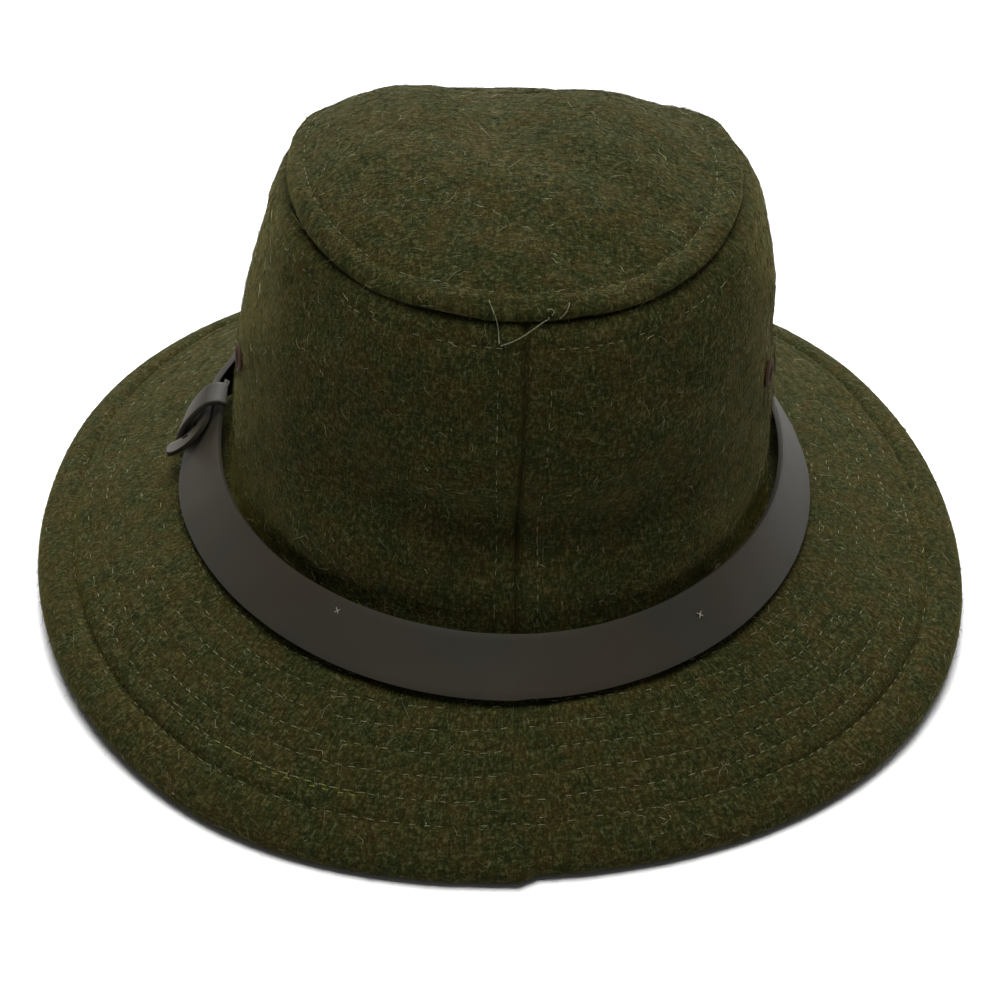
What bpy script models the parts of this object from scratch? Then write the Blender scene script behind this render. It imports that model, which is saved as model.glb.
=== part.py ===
"""Wool packer hat: a crown of two side panels and a domed tip, a stitched double brim in two
halves, a leather band with its pointed tail through a keeper, and a wound eyelet on each side.

Metres, +Z up. The side that the photograph shows faces -Y. A turn of 0 degrees is the middle of
that side and turns grow towards +X. The crown and the band are described in the crown's own
frame, whose z = 0 plane is the ring where crown and brim meet. That frame leans a little over
the floor, and the brim runs from it down to the rim, which rests on the floor.
"""
import math
from collections import namedtuple

import bpy
from mathutils import Matrix, Vector

MM = 0.001

# Wool panels
WALL = 2.2 * MM
FIT_GAP = 0.4 * MM
SEAM_GAP = 0.6 * MM

# Crown, measured on its outer face
BASE_HALF_WIDTH = 86.5 * MM
BASE_HALF_LENGTH = 108.0 * MM
TIP_HALF_WIDTH = 68.0 * MM
TIP_HALF_LENGTH = 87.0 * MM
TIP_ROUNDNESS = 0.92
SEAM_HEIGHT_FRONT = 95.5 * MM
SEAM_HEIGHT_RIGHT = 103.5 * MM
SEAM_HEIGHT_BACK = 79.0 * MM
SEAM_HEIGHT_LEFT = 98.5 * MM
TIP_FORWARD = 2.0 * MM
TIP_RIGHT = 0.3 * MM
TIP_RISE = 17.0 * MM
CREST_LEFT = 6.0 * MM
SEAM_CURL = 1.6 * MM
CURL_REACH = 6.0 * MM
WALL_SWELL = 5.0 * MM
DENT_DEPTH = 5.0 * MM
LEAN_BACK = math.radians(1.7)
LEAN_RIGHT = math.radians(1.8)
BASE_HEIGHT = 34.5 * MM

# Brim, from the base ring to the rim
OVERHANG_FRONT = 55.0 * MM
OVERHANG_SIDE = 63.5 * MM
OVERHANG_BACK = 60.0 * MM
OVERHANG_DIAGONAL = 5.5 * MM
RIM_HEIGHT = 4.2 * MM
RIM_SIDE_LIFT = 5.0 * MM
RIM_STEP = 3.0 * MM
BRIM_SEAM_TURN = 4.5
BRIM_BOW = 3.5 * MM
WELT_WIDTH = 12.0 * MM
WELT_RELIEF = 0.9 * MM

# Leather band
LEATHER = 2.2 * MM
BAND_WIDTH = 17.5 * MM
BAND_TOP_GAP = 1.2 * MM
BAND_FLARE = 11.0 * MM
BAND_LIFT = 2.8 * MM
BAND_START_TURN = -100.0
TAIL_LAP_TURN = 251.0
TAIL_FREE_TURN = 268.6
TAIL_LENGTH = 14.5 * MM
TAIL_WIDTH = 12.0 * MM
TAIL_POINT = 13.0 * MM
TAIL_SPLAY = math.radians(25.0)
TAIL_TWIST = math.radians(-60.0)
TAIL_HOLE_RADIUS = 1.3 * MM
TAIL_HOLE_PITCH = 6.0 * MM
KEEPER_TURN = -94.2
KEEPER_LOW_SHARE = 0.0
KEEPER_HIGH_SHARE = 1.16
KEEPER_WIDTH = 9.0 * MM
KEEPER_RISE = 4.2 * MM
KEEPER_TUCK = 1.0 * MM
CINCH_TURN = -120.0
CINCH_SPREAD = 22.0
CINCH = 0.95
CINCH_CLOSE = 0.65

# Wound eyelets
VENT_RIGHT_TURN = 67.0
VENT_LEFT_TURN = -80.0
VENT_RADIUS = 3.2 * MM
VENT_THREAD = 1.0 * MM
VENT_RIGHT_SHARE = 0.53
VENT_LEFT_SHARE = 0.45

Sides = namedtuple("Sides", "front right back left")
OVERHANG = Sides(OVERHANG_FRONT, OVERHANG_SIDE, OVERHANG_BACK, OVERHANG_SIDE)
SEAM_HEIGHT = Sides(
    SEAM_HEIGHT_FRONT, SEAM_HEIGHT_RIGHT, SEAM_HEIGHT_BACK, SEAM_HEIGHT_LEFT
)
BOW_SHARE = Sides(front=1.0, right=0.4, back=0.5, left=0.4)
FLARE_SHARE = Sides(front=1.0, right=0.85, back=0.55, left=1.2)

# Wall sections from the base to the tip seam: height as a share of the wall, and the outward
# swell of each side as a share of WALL_SWELL.
WallRow = namedtuple("WallRow", "height front right back left")
WALL_ROWS = (
    WallRow(0.00, 0.00, 0.00, 0.00, 0.00),
    WallRow(0.10, -0.18, 0.04, 0.05, 0.16),
    WallRow(0.24, -0.18, 0.42, 0.15, 0.54),
    WallRow(0.38, 0.06, 0.76, 0.30, 0.72),
    WallRow(0.52, 0.36, 1.08, 0.50, 0.92),
    WallRow(0.66, 0.60, 1.26, 0.60, 0.80),
    WallRow(0.80, 0.60, 1.38, 0.60, 0.56),
    WallRow(0.90, 0.42, 1.12, 0.42, 0.50),
    WallRow(0.96, 0.18, 0.70, 0.18, 0.36),
    WallRow(1.00, 0.00, 0.00, 0.00, 0.00),
)

# Dome of the tip from its seam to its middle: reach as a share of the tip's ring, and rise as a
# share of TIP_RISE, most of the way round and on the flatter right shoulder.
TipRow = namedtuple("TipRow", "reach rise right")
TIP_ROWS = (
    TipRow(1.000, 0.00, 0.00),
    TipRow(1.012, 0.11, 0.08),
    TipRow(0.985, 0.24, 0.16),
    TipRow(0.920, 0.38, 0.22),
    TipRow(0.800, 0.62, 0.38),
    TipRow(0.620, 0.88, 0.72),
    TipRow(0.340, 1.04, 1.02),
)

# Soft dents in the crown wall: where they lie, how far they spread, and their depth as a share
# of DENT_DEPTH (a bump is a negative depth).
Dent = namedtuple("Dent", "turn height turn_spread height_spread depth")
DENTS = (
    Dent(turn=0.0, height=0.36, turn_spread=34.0, height_spread=0.15, depth=1.0),
    Dent(turn=-42.0, height=0.22, turn_spread=14.0, height_spread=0.12, depth=-0.25),
    Dent(turn=40.0, height=0.24, turn_spread=13.0, height_spread=0.12, depth=-0.25),
)

# Rim past or short of its even curve: share of RIM_STEP at a turn, straight between the rows.
RimRow = namedtuple("RimRow", "turn out")
RIM_ROWS = (
    RimRow(-84.0, 0.0),
    RimRow(-66.0, -0.6),
    RimRow(-48.0, -0.8),
    RimRow(-36.0, -0.1),
    RimRow(-26.0, 0.4),
    RimRow(0.0, 0.5),
    RimRow(BRIM_SEAM_TURN, -0.5),
    RimRow(28.0, -0.7),
    RimRow(66.0, -0.1),
    RimRow(88.0, -0.3),
    RimRow(112.0, -0.7),
    RimRow(138.0, 0.0),
)

# Brim rows outwards from the base ring: distance from the rim as a share of WELT_WIDTH, and
# relief as a share of WELT_RELIEF. The inner rows lie at even shares of what is left.
WeltRow = namedtuple("WeltRow", "inset relief")
WELT_ROWS = (
    WeltRow(1.35, 0.0),
    WeltRow(1.00, -0.8),
    WeltRow(0.65, 0.6),
    WeltRow(0.20, 0.8),
    WeltRow(0.00, 0.0),
)
INNER_BRIM_ROWS = 4

PANEL_COLUMNS = 26
TIP_COLUMNS = 52
BAND_COLUMNS = 60
BAND_ROWS = 2
KEEPER_COLUMNS = 8

COLLECTION = bpy.data.collections.new("packer_hat")
CUTTERS = bpy.data.collections.new("packer_hat_cutters")


def clear_scene():
    """Remove the objects of the open scene and link the two collections."""
    for thing in list(bpy.data.objects):
        bpy.data.objects.remove(thing, do_unlink=True)
    bpy.context.scene.collection.children.link(COLLECTION)
    bpy.context.scene.collection.children.link(CUTTERS)


def material(name, color, roughness, metallic=0.0):
    """Principled material of one part."""
    made = bpy.data.materials.new(name)
    made.use_nodes = True
    shader = made.node_tree.nodes["Principled BSDF"]
    shader.inputs["Base Color"].default_value = (*color, 1.0)
    shader.inputs["Roughness"].default_value = roughness
    shader.inputs["Metallic"].default_value = metallic
    made.diffuse_color = (*color, 1.0)
    return made


def surface(name, rows, finish, closed=False, middle=None):
    """Open sheet through rows of points, closed around or with a middle point if asked."""
    points = [point for row in rows for point in row]
    count = len(rows[0])
    spans = count if closed else count - 1
    faces = []
    for row in range(len(rows) - 1):
        for column in range(spans):
            after = (column + 1) % count
            low = row * count
            high = low + count
            faces.append((low + column, low + after, high + after, high + column))
    if middle is not None:
        points.append(middle)
        last = (len(rows) - 1) * count
        for column in range(spans):
            after = (column + 1) % count
            faces.append((last + column, last + after, len(points) - 1))
    mesh = bpy.data.meshes.new(name)
    mesh.from_pydata(points, [], faces)
    mesh.materials.append(finish)
    mesh.shade_smooth()
    mesh.set_sharp_from_angle(angle=math.radians(50))
    sheet = bpy.data.objects.new(name, mesh)
    COLLECTION.objects.link(sheet)
    return sheet


def thicken(sheet, thickness):
    """Give a sheet its thickness behind its outer face."""
    solid = sheet.modifiers.new("thickness", "SOLIDIFY")
    solid.thickness = thickness
    solid.offset = -1.0
    solid.use_even_offset = True
    solid.use_quality_normals = True
    return sheet


def cut_hole(solid, name, centre, axis, radius, depth):
    """Round hole through a solid at centre, along axis."""
    bpy.ops.mesh.primitive_cylinder_add(vertices=12, radius=radius, depth=depth, location=centre)
    cutter = bpy.context.object
    cutter.name = name
    cutter.rotation_euler = axis.to_track_quat("Z", "Y").to_euler()
    cutter.hide_render = True
    cutter.display_type = "WIRE"
    for home in list(cutter.users_collection):
        home.objects.unlink(cutter)
    CUTTERS.objects.link(cutter)
    hole = solid.modifiers.new(name, "BOOLEAN")
    hole.operation = "DIFFERENCE"
    hole.solver = "EXACT"
    hole.object = cutter


def around(turn, values):
    """Value at a turn, eased between the four sides."""
    ahead = math.cos(turn)
    aside = math.sin(turn)
    end = values.front if ahead > 0 else values.back
    flank = values.right if aside > 0 else values.left
    return end * ahead**2 + flank * aside**2


def from_rows(value, rows):
    """Second column of a table of pairs at a value of its first, straight between rows."""
    if value <= rows[0][0]:
        return rows[0][1]
    for before, after in zip(rows, rows[1:]):
        if value <= after[0]:
            share = (value - before[0]) / (after[0] - before[0])
            return before[1] + share * (after[1] - before[1])
    return rows[-1][1]


def signed_turn(turn):
    """Turn in degrees from -180 to 180."""
    return (math.degrees(turn) + 180.0) % 360.0 - 180.0


LEAN = (
    Matrix.Translation((0.0, 0.0, BASE_HEIGHT))
    @ Matrix.Rotation(LEAN_RIGHT, 4, "Y")
    @ Matrix.Rotation(-LEAN_BACK, 4, "X")
)


def base_oval(turn, out=0.0):
    """Point of the base ring in the crown's frame, moved outwards, and its outward direction."""
    point = Vector((BASE_HALF_WIDTH * math.sin(turn), -BASE_HALF_LENGTH * math.cos(turn), 0.0))
    outward = Vector((math.sin(turn) / BASE_HALF_WIDTH, -math.cos(turn) / BASE_HALF_LENGTH, 0.0))
    outward.normalize()
    return point + outward * out, outward


def squared(value):
    """Sine or cosine pushed outwards, for an oval that is a little square."""
    return math.copysign(abs(value) ** TIP_ROUNDNESS, value)


def tip_ring(turn):
    """Seam between the walls and the tip, in the crown's frame."""
    return Vector((
        TIP_RIGHT + TIP_HALF_WIDTH * squared(math.sin(turn)),
        -TIP_FORWARD - TIP_HALF_LENGTH * squared(math.cos(turn)),
        around(turn, SEAM_HEIGHT),
    ))


def dent_depth(turn, height):
    """Sum of the soft dents at a place on the wall."""
    degrees = signed_turn(turn)
    depth = 0.0
    for dent in DENTS:
        aside = (degrees - dent.turn) / dent.turn_spread
        above = (height - dent.height) / dent.height_spread
        depth += dent.depth * math.exp(-aside**2 - above**2)
    return DENT_DEPTH * depth


def wall_swell(turn, height):
    """Outward swell of the wall at a place, as a share of WALL_SWELL."""
    swells = [
        from_rows(height, [(row.height, getattr(row, side)) for row in WALL_ROWS])
        for side in Sides._fields
    ]
    return around(turn, Sides(*swells))


def wall_point(turn, height):
    """Outer face of the crown wall in the crown's frame, height as a share."""
    base, outward = base_oval(turn)
    top = tip_ring(turn)
    base.z = FIT_GAP
    reach = (top.z - base.z) * (1.0 - height)
    curl = SEAM_CURL * max(0.0, 1.0 - reach / CURL_REACH) ** 2
    swell = WALL_SWELL * wall_swell(turn, height)
    return base.lerp(top, height) + outward * (swell - dent_depth(turn, height) - curl)


def tip_point(turn, row):
    """Outer face of the tip in the crown's frame."""
    ring = tip_ring(turn)
    _, outward = base_oval(turn)
    middle = Vector((TIP_RIGHT - CREST_LEFT, -TIP_FORWARD, (SEAM_HEIGHT_RIGHT + SEAM_HEIGHT_LEFT) / 2))
    point = middle.lerp(ring, row.reach)
    point -= outward * SEAM_CURL * row.reach**4
    rise = row.rise + (row.right - row.rise) * max(0.0, math.sin(turn))
    point.z += TIP_RISE * rise + SEAM_GAP
    return point


def overhang(turn):
    """Plan width of the brim at a turn."""
    return around(turn, OVERHANG) + OVERHANG_DIAGONAL * math.sin(2.0 * turn) ** 2


def brim_point(turn, share, relief=0.0):
    """Upper face of the brim above the floor, from the base ring at 0 to the rim at 1."""
    base, outward = base_oval(turn)
    inner = LEAN @ base
    out = overhang(turn) + RIM_STEP * from_rows(signed_turn(turn), RIM_ROWS)
    outer = inner + outward * out
    outer.z = RIM_HEIGHT + RIM_SIDE_LIFT * math.sin(turn) ** 4
    chord = (outer - inner).normalized()
    upright = (Vector((0.0, 0.0, 1.0)) - chord * chord.z).normalized()
    bow = BRIM_BOW * around(turn, BOW_SHARE) * 4.0 * share * (1.0 - share)
    return inner.lerp(outer, share) + upright * (bow + relief), upright


def brim_rows():
    """Share of the way out, and relief, of each row of the brim."""
    mean_overhang = (OVERHANG_FRONT + 2 * OVERHANG_SIDE + OVERHANG_BACK) / 4
    first_welt = 1.0 - WELT_ROWS[0].inset * WELT_WIDTH / mean_overhang
    rows = [(first_welt * step / INNER_BRIM_ROWS, 0.0) for step in range(INNER_BRIM_ROWS)]
    for row in WELT_ROWS:
        rows.append((1.0 - row.inset * WELT_WIDTH / mean_overhang, WELT_RELIEF * row.relief))
    return rows


def half_turns(start, end, columns):
    """Turns of a half panel, closer together at its seams and short of them by half a gap."""
    gap = SEAM_GAP / 2 / BASE_HALF_WIDTH
    first = math.radians(start) + gap
    last = math.radians(end) - gap
    turns = []
    for column in range(columns + 1):
        share = column / columns
        eased = share - 0.5 * math.sin(2 * math.pi * share) / (2 * math.pi)
        turns.append(first + (last - first) * eased)
    return turns


def make_crown_side(name, start, end, finish):
    """One side panel of the crown, from the front seam to the back seam."""
    turns = half_turns(start, end, PANEL_COLUMNS)
    rows = [[LEAN @ wall_point(turn, row.height) for turn in turns] for row in WALL_ROWS]
    return thicken(surface(name, rows, finish), WALL)


def make_crown_tip(finish):
    """Domed tip, one panel closed over its middle."""
    turns = [2 * math.pi * column / TIP_COLUMNS for column in range(TIP_COLUMNS)]
    rows = [[LEAN @ tip_point(turn, row) for turn in turns] for row in TIP_ROWS]
    middle = sum(rows[-1], Vector()) / TIP_COLUMNS
    return thicken(surface("crown_tip", rows, finish, closed=True, middle=middle), WALL)


def make_brim_half(name, start, end, depth, finish):
    """One half of one layer of the brim, its upper face at a depth below the brim's."""
    turns = half_turns(start, end, PANEL_COLUMNS)
    rows = []
    for share, relief in reversed(brim_rows()):
        row = []
        for turn in turns:
            point, upright = brim_point(turn, share, relief)
            row.append(point - upright * depth)
        rows.append(row)
    return thicken(surface(name, rows, finish), WALL)


def band_edges(turn):
    """Lower and upper edge of the band's outer face above the floor, and its outward face."""
    cinched = CINCH * math.exp(-(((signed_turn(turn) - CINCH_TURN) / CINCH_SPREAD) ** 2))
    flare = BAND_FLARE * around(turn, FLARE_SHARE) * (1.0 - cinched)
    top_out = BAND_TOP_GAP * (1.0 - CINCH_CLOSE * cinched) + LEATHER
    low, _ = brim_point(turn, (top_out + flare) / overhang(turn))
    low.z += BAND_LIFT
    base, outward = base_oval(turn, top_out)
    high = LEAN @ base
    high.z = low.z + math.sqrt(max(BAND_WIDTH**2 - flare**2, 0.0))
    along = high - low
    face = (outward - along * outward.dot(along) / along.length_squared).normalized()
    return low, high, face


def across(low, high, width_share=1.0):
    """Points from the lower to the upper edge, over a share of the width about its middle."""
    middle = (low + high) / 2
    half = (high - low) / 2 * width_share
    return [middle + half * (2.0 * row / BAND_ROWS - 1.0) for row in range(BAND_ROWS + 1)]


def lap_section(turn):
    """Section of the band over its own start: lifted off it and narrowed to the tail."""
    low, high, face = band_edges(turn)
    lap = math.radians(BAND_START_TURN + 360.0 - TAIL_LAP_TURN)
    share = min(1.0, max(0.0, (turn - math.radians(TAIL_LAP_TURN)) / lap))
    eased = share * share * (3.0 - 2.0 * share)
    lifted = face * (LEATHER + 2 * FIT_GAP) * eased
    narrow = 1.0 + (TAIL_WIDTH / BAND_WIDTH - 1.0) * eased
    return across(low + lifted, high + lifted, narrow)


def tail_run():
    """Section where the tail comes free, and the straight way that it runs from there."""
    turn = math.radians(TAIL_FREE_TURN)
    section = lap_section(turn)
    before = lap_section(turn - 0.02)
    ahead = (section[BAND_ROWS // 2] - before[BAND_ROWS // 2]).normalized()
    return section, Matrix.Rotation(-TAIL_SPLAY, 3, "Z") @ ahead


def tail_section(distance):
    """Section of the free tail at a distance along it, narrowing to its point."""
    section, run = tail_run()
    left = TAIL_LENGTH - distance
    half = 0.06 + 0.94 * min(1.0, left / TAIL_POINT) ** 0.7
    centre = section[BAND_ROWS // 2]
    twist = Matrix.Rotation(TAIL_TWIST * distance / TAIL_LENGTH, 3, run)
    return [centre + twist @ (point - centre) * half + run * distance for point in section]


def make_hat_band(finish):
    """Leather strap once around the crown, its tail past its own start."""
    start = math.radians(BAND_START_TURN)
    end = math.radians(TAIL_FREE_TURN)
    columns = [
        lap_section(start + (end - start) * column / BAND_COLUMNS)
        for column in range(BAND_COLUMNS + 1)
    ]
    steps = (0.2, 0.4, 0.55, 0.7, 0.82, 0.91, 0.97, 1.0)
    columns += [tail_section(TAIL_LENGTH * step) for step in steps]
    rows = [list(row) for row in zip(*columns)]
    band = thicken(surface("hat_band", rows, finish), LEATHER)
    _, run = tail_run()
    for number in (1, 2):
        section = tail_section(TAIL_LENGTH - TAIL_POINT * 0.7 - TAIL_HOLE_PITCH * (number - 1))
        face = run.cross(section[-1] - section[0]).normalized()
        centre = section[BAND_ROWS // 2] - face * LEATHER / 2
        cut_hole(band, f"tail_hole_{number}", centre, face, TAIL_HOLE_RADIUS, 1.5 * LEATHER)
    return band


def make_keeper(finish):
    """Leather keeper arched across the band, over its tail."""
    turn = math.radians(KEEPER_TURN)
    ahead = KEEPER_WIDTH / 2 / BASE_HALF_LENGTH
    rows = []
    for side in (-ahead, ahead):
        low, high, face = band_edges(turn + side)
        row = []
        for column in range(KEEPER_COLUMNS + 1):
            share = column / KEEPER_COLUMNS
            arch = FIT_GAP + KEEPER_RISE * math.sin(math.pi * share) ** 0.3
            place = KEEPER_LOW_SHARE + (KEEPER_HIGH_SHARE - KEEPER_LOW_SHARE) * share
            arch -= KEEPER_TUCK * max(0.0, place - 1.0) / (KEEPER_HIGH_SHARE - 1.0)
            row.append(low.lerp(high, place) + face * arch)
        rows.append(row)
    return thicken(surface("band_keeper", rows, finish), LEATHER)


def make_vent(name, degrees, height, wall, finish):
    """Wound eyelet on the wall, and the hole through the wall behind it."""
    turn = math.radians(degrees)
    centre = LEAN @ wall_point(turn, height)
    aside = (LEAN @ wall_point(turn + 0.02, height)) - centre
    above = (LEAN @ wall_point(turn, height + 0.02)) - centre
    face = aside.cross(above).normalized()
    cut_hole(wall, name + "_hole", centre, face, VENT_RADIUS - VENT_THREAD / 2, 4 * WALL)
    bpy.ops.mesh.primitive_torus_add(
        major_radius=VENT_RADIUS,
        minor_radius=VENT_THREAD,
        major_segments=14,
        minor_segments=6,
        location=centre + face * (VENT_THREAD + FIT_GAP),
        rotation=face.to_track_quat("Z", "Y").to_euler(),
    )
    eyelet = bpy.context.object
    eyelet.name = name
    eyelet.data.name = name
    eyelet.data.materials.append(finish)
    eyelet.data.shade_smooth()
    for home in list(eyelet.users_collection):
        home.objects.unlink(eyelet)
    COLLECTION.objects.link(eyelet)


def settle():
    """Shift the whole hat so that the origin is under the middle of its box, on the floor."""
    bpy.context.view_layer.update()
    depsgraph = bpy.context.evaluated_depsgraph_get()
    corners = []
    for thing in COLLECTION.objects:
        solid = thing.evaluated_get(depsgraph)
        corners += [solid.matrix_world @ vertex.co for vertex in solid.data.vertices]
    low = Vector([min(corner[axis] for corner in corners) for axis in range(3)])
    high = Vector([max(corner[axis] for corner in corners) for axis in range(3)])
    shift = Vector(((low.x + high.x) / 2, (low.y + high.y) / 2, low.z))
    for thing in list(COLLECTION.objects) + list(CUTTERS.objects):
        thing.location -= shift


def main():
    """Build every piece of the hat."""
    clear_scene()
    wool = material("heathered_wool", (0.052, 0.049, 0.020), 0.95)
    leather = material("charcoal_leather", (0.042, 0.038, 0.034), 0.55)
    thread = material("wound_thread", (0.040, 0.030, 0.018), 0.85)
    left = make_crown_side("crown_side_left", -180.0, 0.0, wool)
    right = make_crown_side("crown_side_right", 0.0, 180.0, wool)
    make_crown_tip(wool)
    under = WALL + FIT_GAP
    make_brim_half("brim_upper_left", -180.0, BRIM_SEAM_TURN, 0.0, wool)
    make_brim_half("brim_upper_right", BRIM_SEAM_TURN, 180.0, 0.0, wool)
    make_brim_half("brim_under_left", -180.0, BRIM_SEAM_TURN, under, wool)
    make_brim_half("brim_under_right", BRIM_SEAM_TURN, 180.0, under, wool)
    make_hat_band(leather)
    make_keeper(leather)
    make_vent("vent_eyelet_left", VENT_LEFT_TURN, VENT_LEFT_SHARE, left, thread)
    make_vent("vent_eyelet_right", VENT_RIGHT_TURN, VENT_RIGHT_SHARE, right, thread)
    settle()


main()
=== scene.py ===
"""Wool packer hat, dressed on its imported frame.

The wool pieces, the leather strap and the eyelets are laid where the frame's solids are, from the
same sizes. The stitching, the loose threads and the nap of the wool lie on them.
"""
import math

import bmesh
import bpy
import numpy as np
from bpy.props import FloatProperty, FloatVectorProperty, IntProperty, PointerProperty
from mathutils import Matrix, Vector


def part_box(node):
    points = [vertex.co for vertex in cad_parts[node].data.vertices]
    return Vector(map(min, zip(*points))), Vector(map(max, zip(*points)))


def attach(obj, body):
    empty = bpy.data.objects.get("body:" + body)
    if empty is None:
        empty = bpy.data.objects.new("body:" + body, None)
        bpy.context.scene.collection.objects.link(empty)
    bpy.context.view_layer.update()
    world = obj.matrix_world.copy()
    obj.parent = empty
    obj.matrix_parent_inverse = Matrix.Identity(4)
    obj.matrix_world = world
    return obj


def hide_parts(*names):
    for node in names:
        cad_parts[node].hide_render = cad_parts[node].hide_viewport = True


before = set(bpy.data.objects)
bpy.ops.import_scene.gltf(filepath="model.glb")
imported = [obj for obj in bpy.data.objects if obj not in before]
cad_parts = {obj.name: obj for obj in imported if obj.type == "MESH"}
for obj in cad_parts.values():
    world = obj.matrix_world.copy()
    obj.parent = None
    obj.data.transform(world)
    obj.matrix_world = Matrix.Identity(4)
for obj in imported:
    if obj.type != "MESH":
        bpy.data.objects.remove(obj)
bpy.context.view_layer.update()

bl_info = {
    "name": "Packer Hat",
    "version": (1, 0, 0),
    "blender": (4, 5, 0),
    "location": "View3D > Sidebar > Hat",
    "description": "Wool packer hat with a stitched brim and a leather strap",
    "category": "Add Mesh",
}

MM = 0.001

# The hat's form, in the sizes of its solids
WALL = 2.2 * MM
FIT_GAP = 0.4 * MM
SEAM_GAP = 0.6 * MM
BASE_HALF_WIDTH = 86.5 * MM
BASE_HALF_LENGTH = 108.0 * MM
TIP_HALF_WIDTH = 68.0 * MM
TIP_HALF_LENGTH = 87.0 * MM
TIP_ROUNDNESS = 0.92
SEAM_HEIGHT = (95.5 * MM, 103.5 * MM, 79.0 * MM, 98.5 * MM)
TIP_FORWARD = 2.0 * MM
TIP_RIGHT = 0.3 * MM
TIP_RISE = 17.0 * MM
CREST_LEFT = 6.0 * MM
SEAM_CURL = 1.6 * MM
CURL_REACH = 6.0 * MM
WALL_SWELL = 5.0 * MM
DENT_DEPTH = 5.0 * MM
LEAN_BACK = math.radians(1.7)
LEAN_RIGHT = math.radians(1.8)
BASE_HEIGHT = 34.5 * MM
OVERHANG = (55.0 * MM, 63.5 * MM, 60.0 * MM, 63.5 * MM)
OVERHANG_DIAGONAL = 5.5 * MM
RIM_HEIGHT = 4.2 * MM
RIM_SIDE_LIFT = 5.0 * MM
RIM_STEP = 3.0 * MM
BRIM_SEAM_TURN = 4.5
BRIM_BOW = 3.5 * MM
BOW_SHARE = (1.0, 0.4, 0.5, 0.4)
WELT_WIDTH = 12.0 * MM
LEATHER = 2.2 * MM
BAND_WIDTH = 17.5 * MM
BAND_TOP_GAP = 1.2 * MM
BAND_FLARE = 11.0 * MM
BAND_LIFT = 2.8 * MM
FLARE_SHARE = (1.0, 0.85, 0.55, 1.2)
BAND_START_TURN = -100.0
TAIL_LAP_TURN = 251.0
TAIL_FREE_TURN = 268.6
TAIL_LENGTH = 14.5 * MM
TAIL_WIDTH = 12.0 * MM
TAIL_POINT = 13.0 * MM
TAIL_SPLAY = math.radians(25.0)
TAIL_TWIST = math.radians(-60.0)
TAIL_HOLE_RADIUS = 1.3 * MM
TAIL_HOLE_PITCH = 6.0 * MM
KEEPER_TURN = -94.2
KEEPER_SHARES = (0.0, 1.16)
KEEPER_WIDTH = 9.0 * MM
KEEPER_RISE = 4.2 * MM
KEEPER_TUCK = 1.0 * MM
CINCH_TURN = -120.0
CINCH_SPREAD = 22.0
CINCH = 0.95
CINCH_CLOSE = 0.65
# Turn of each eyelet and its height as a share of the wall
VENTS = {"right": (67.0, 0.53), "left": (-80.0, 0.45)}
VENT_RADIUS = 3.2 * MM
VENT_THREAD = 1.0 * MM

# Height as a share of the wall, then the swell of the front, right, back and left
WALL_ROWS = np.array([
    (0.00, 0.00, 0.00, 0.00, 0.00),
    (0.10, -0.18, 0.04, 0.05, 0.16),
    (0.24, -0.18, 0.42, 0.15, 0.54),
    (0.38, 0.06, 0.76, 0.30, 0.72),
    (0.52, 0.36, 1.08, 0.50, 0.92),
    (0.66, 0.60, 1.26, 0.60, 0.80),
    (0.80, 0.60, 1.38, 0.60, 0.56),
    (0.90, 0.42, 1.12, 0.42, 0.50),
    (0.96, 0.18, 0.70, 0.18, 0.36),
    (1.00, 0.00, 0.00, 0.00, 0.00),
])
# Way up the dome, its reach, its rise, and its rise on the right shoulder
TIP_ROWS = np.array([
    (0.00, 1.000, 0.00, 0.00),
    (0.04, 1.012, 0.11, 0.08),
    (0.09, 0.985, 0.24, 0.16),
    (0.17, 0.920, 0.38, 0.22),
    (0.30, 0.800, 0.62, 0.38),
    (0.47, 0.620, 0.88, 0.72),
    (0.72, 0.340, 1.04, 1.02),
    (1.00, 0.000, 0.91, 0.91),
])
# Turn, height, spread of the turn, spread of the height, depth
DENTS = (
    (0.0, 0.36, 34.0, 0.15, 1.0),
    (-42.0, 0.22, 14.0, 0.12, -0.25),
    (40.0, 0.24, 13.0, 0.12, -0.25),
)
RIM_ROWS = np.array([
    (-180.0, 0.0), (-84.0, 0.0), (-66.0, -0.6), (-48.0, -0.8), (-36.0, -0.1), (-26.0, 0.4),
    (-0.3, 0.5), (1.8, -0.45), (BRIM_SEAM_TURN, -0.5), (28.0, -0.7), (66.0, -0.1), (88.0, -0.3),
    (112.0, -0.7), (138.0, 0.0), (180.0, 0.0),
])

# Sunk seams at the front and back: depth and width
SEAM_DEPTH = 2.0 * MM
SEAM_WIDTH = 0.8 * MM
# Furrows of the topstitches: depth, width, and height and width of the puff to the seam
WALL_SIDE_FURROW = (0.3 * MM, 0.9 * MM, 0.45 * MM, 2.0 * MM)
WALL_TOP_FURROW = (0.35 * MM, 0.9 * MM, 0.35 * MM, 1.8 * MM)
TIP_FURROW = (0.4 * MM, 1.0 * MM, 0.45 * MM, 2.4 * MM)
# Uneven swell of a face, in rows of height, length and seed
WALL_SWAY = ((0.7 * MM, 34 * MM, 3), (0.14 * MM, 9 * MM, 4))
TIP_SWAY = ((0.5 * MM, 30 * MM, 5), (0.14 * MM, 8 * MM, 6))
BRIM_SWAY = ((0.4 * MM, 40 * MM, 7), (0.12 * MM, 9 * MM, 8))
STRAP_SWAY = ((0.22 * MM, 45 * MM, 11), (0.06 * MM, 14 * MM, 12))
# Crease across the front of the crown: depth, spread in degrees, spread as a share of the wall
CREASE_DEPTH = 3.8 * MM
CREASE_SPREAD = 42.0
CREASE_HIGH = 0.10
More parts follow.
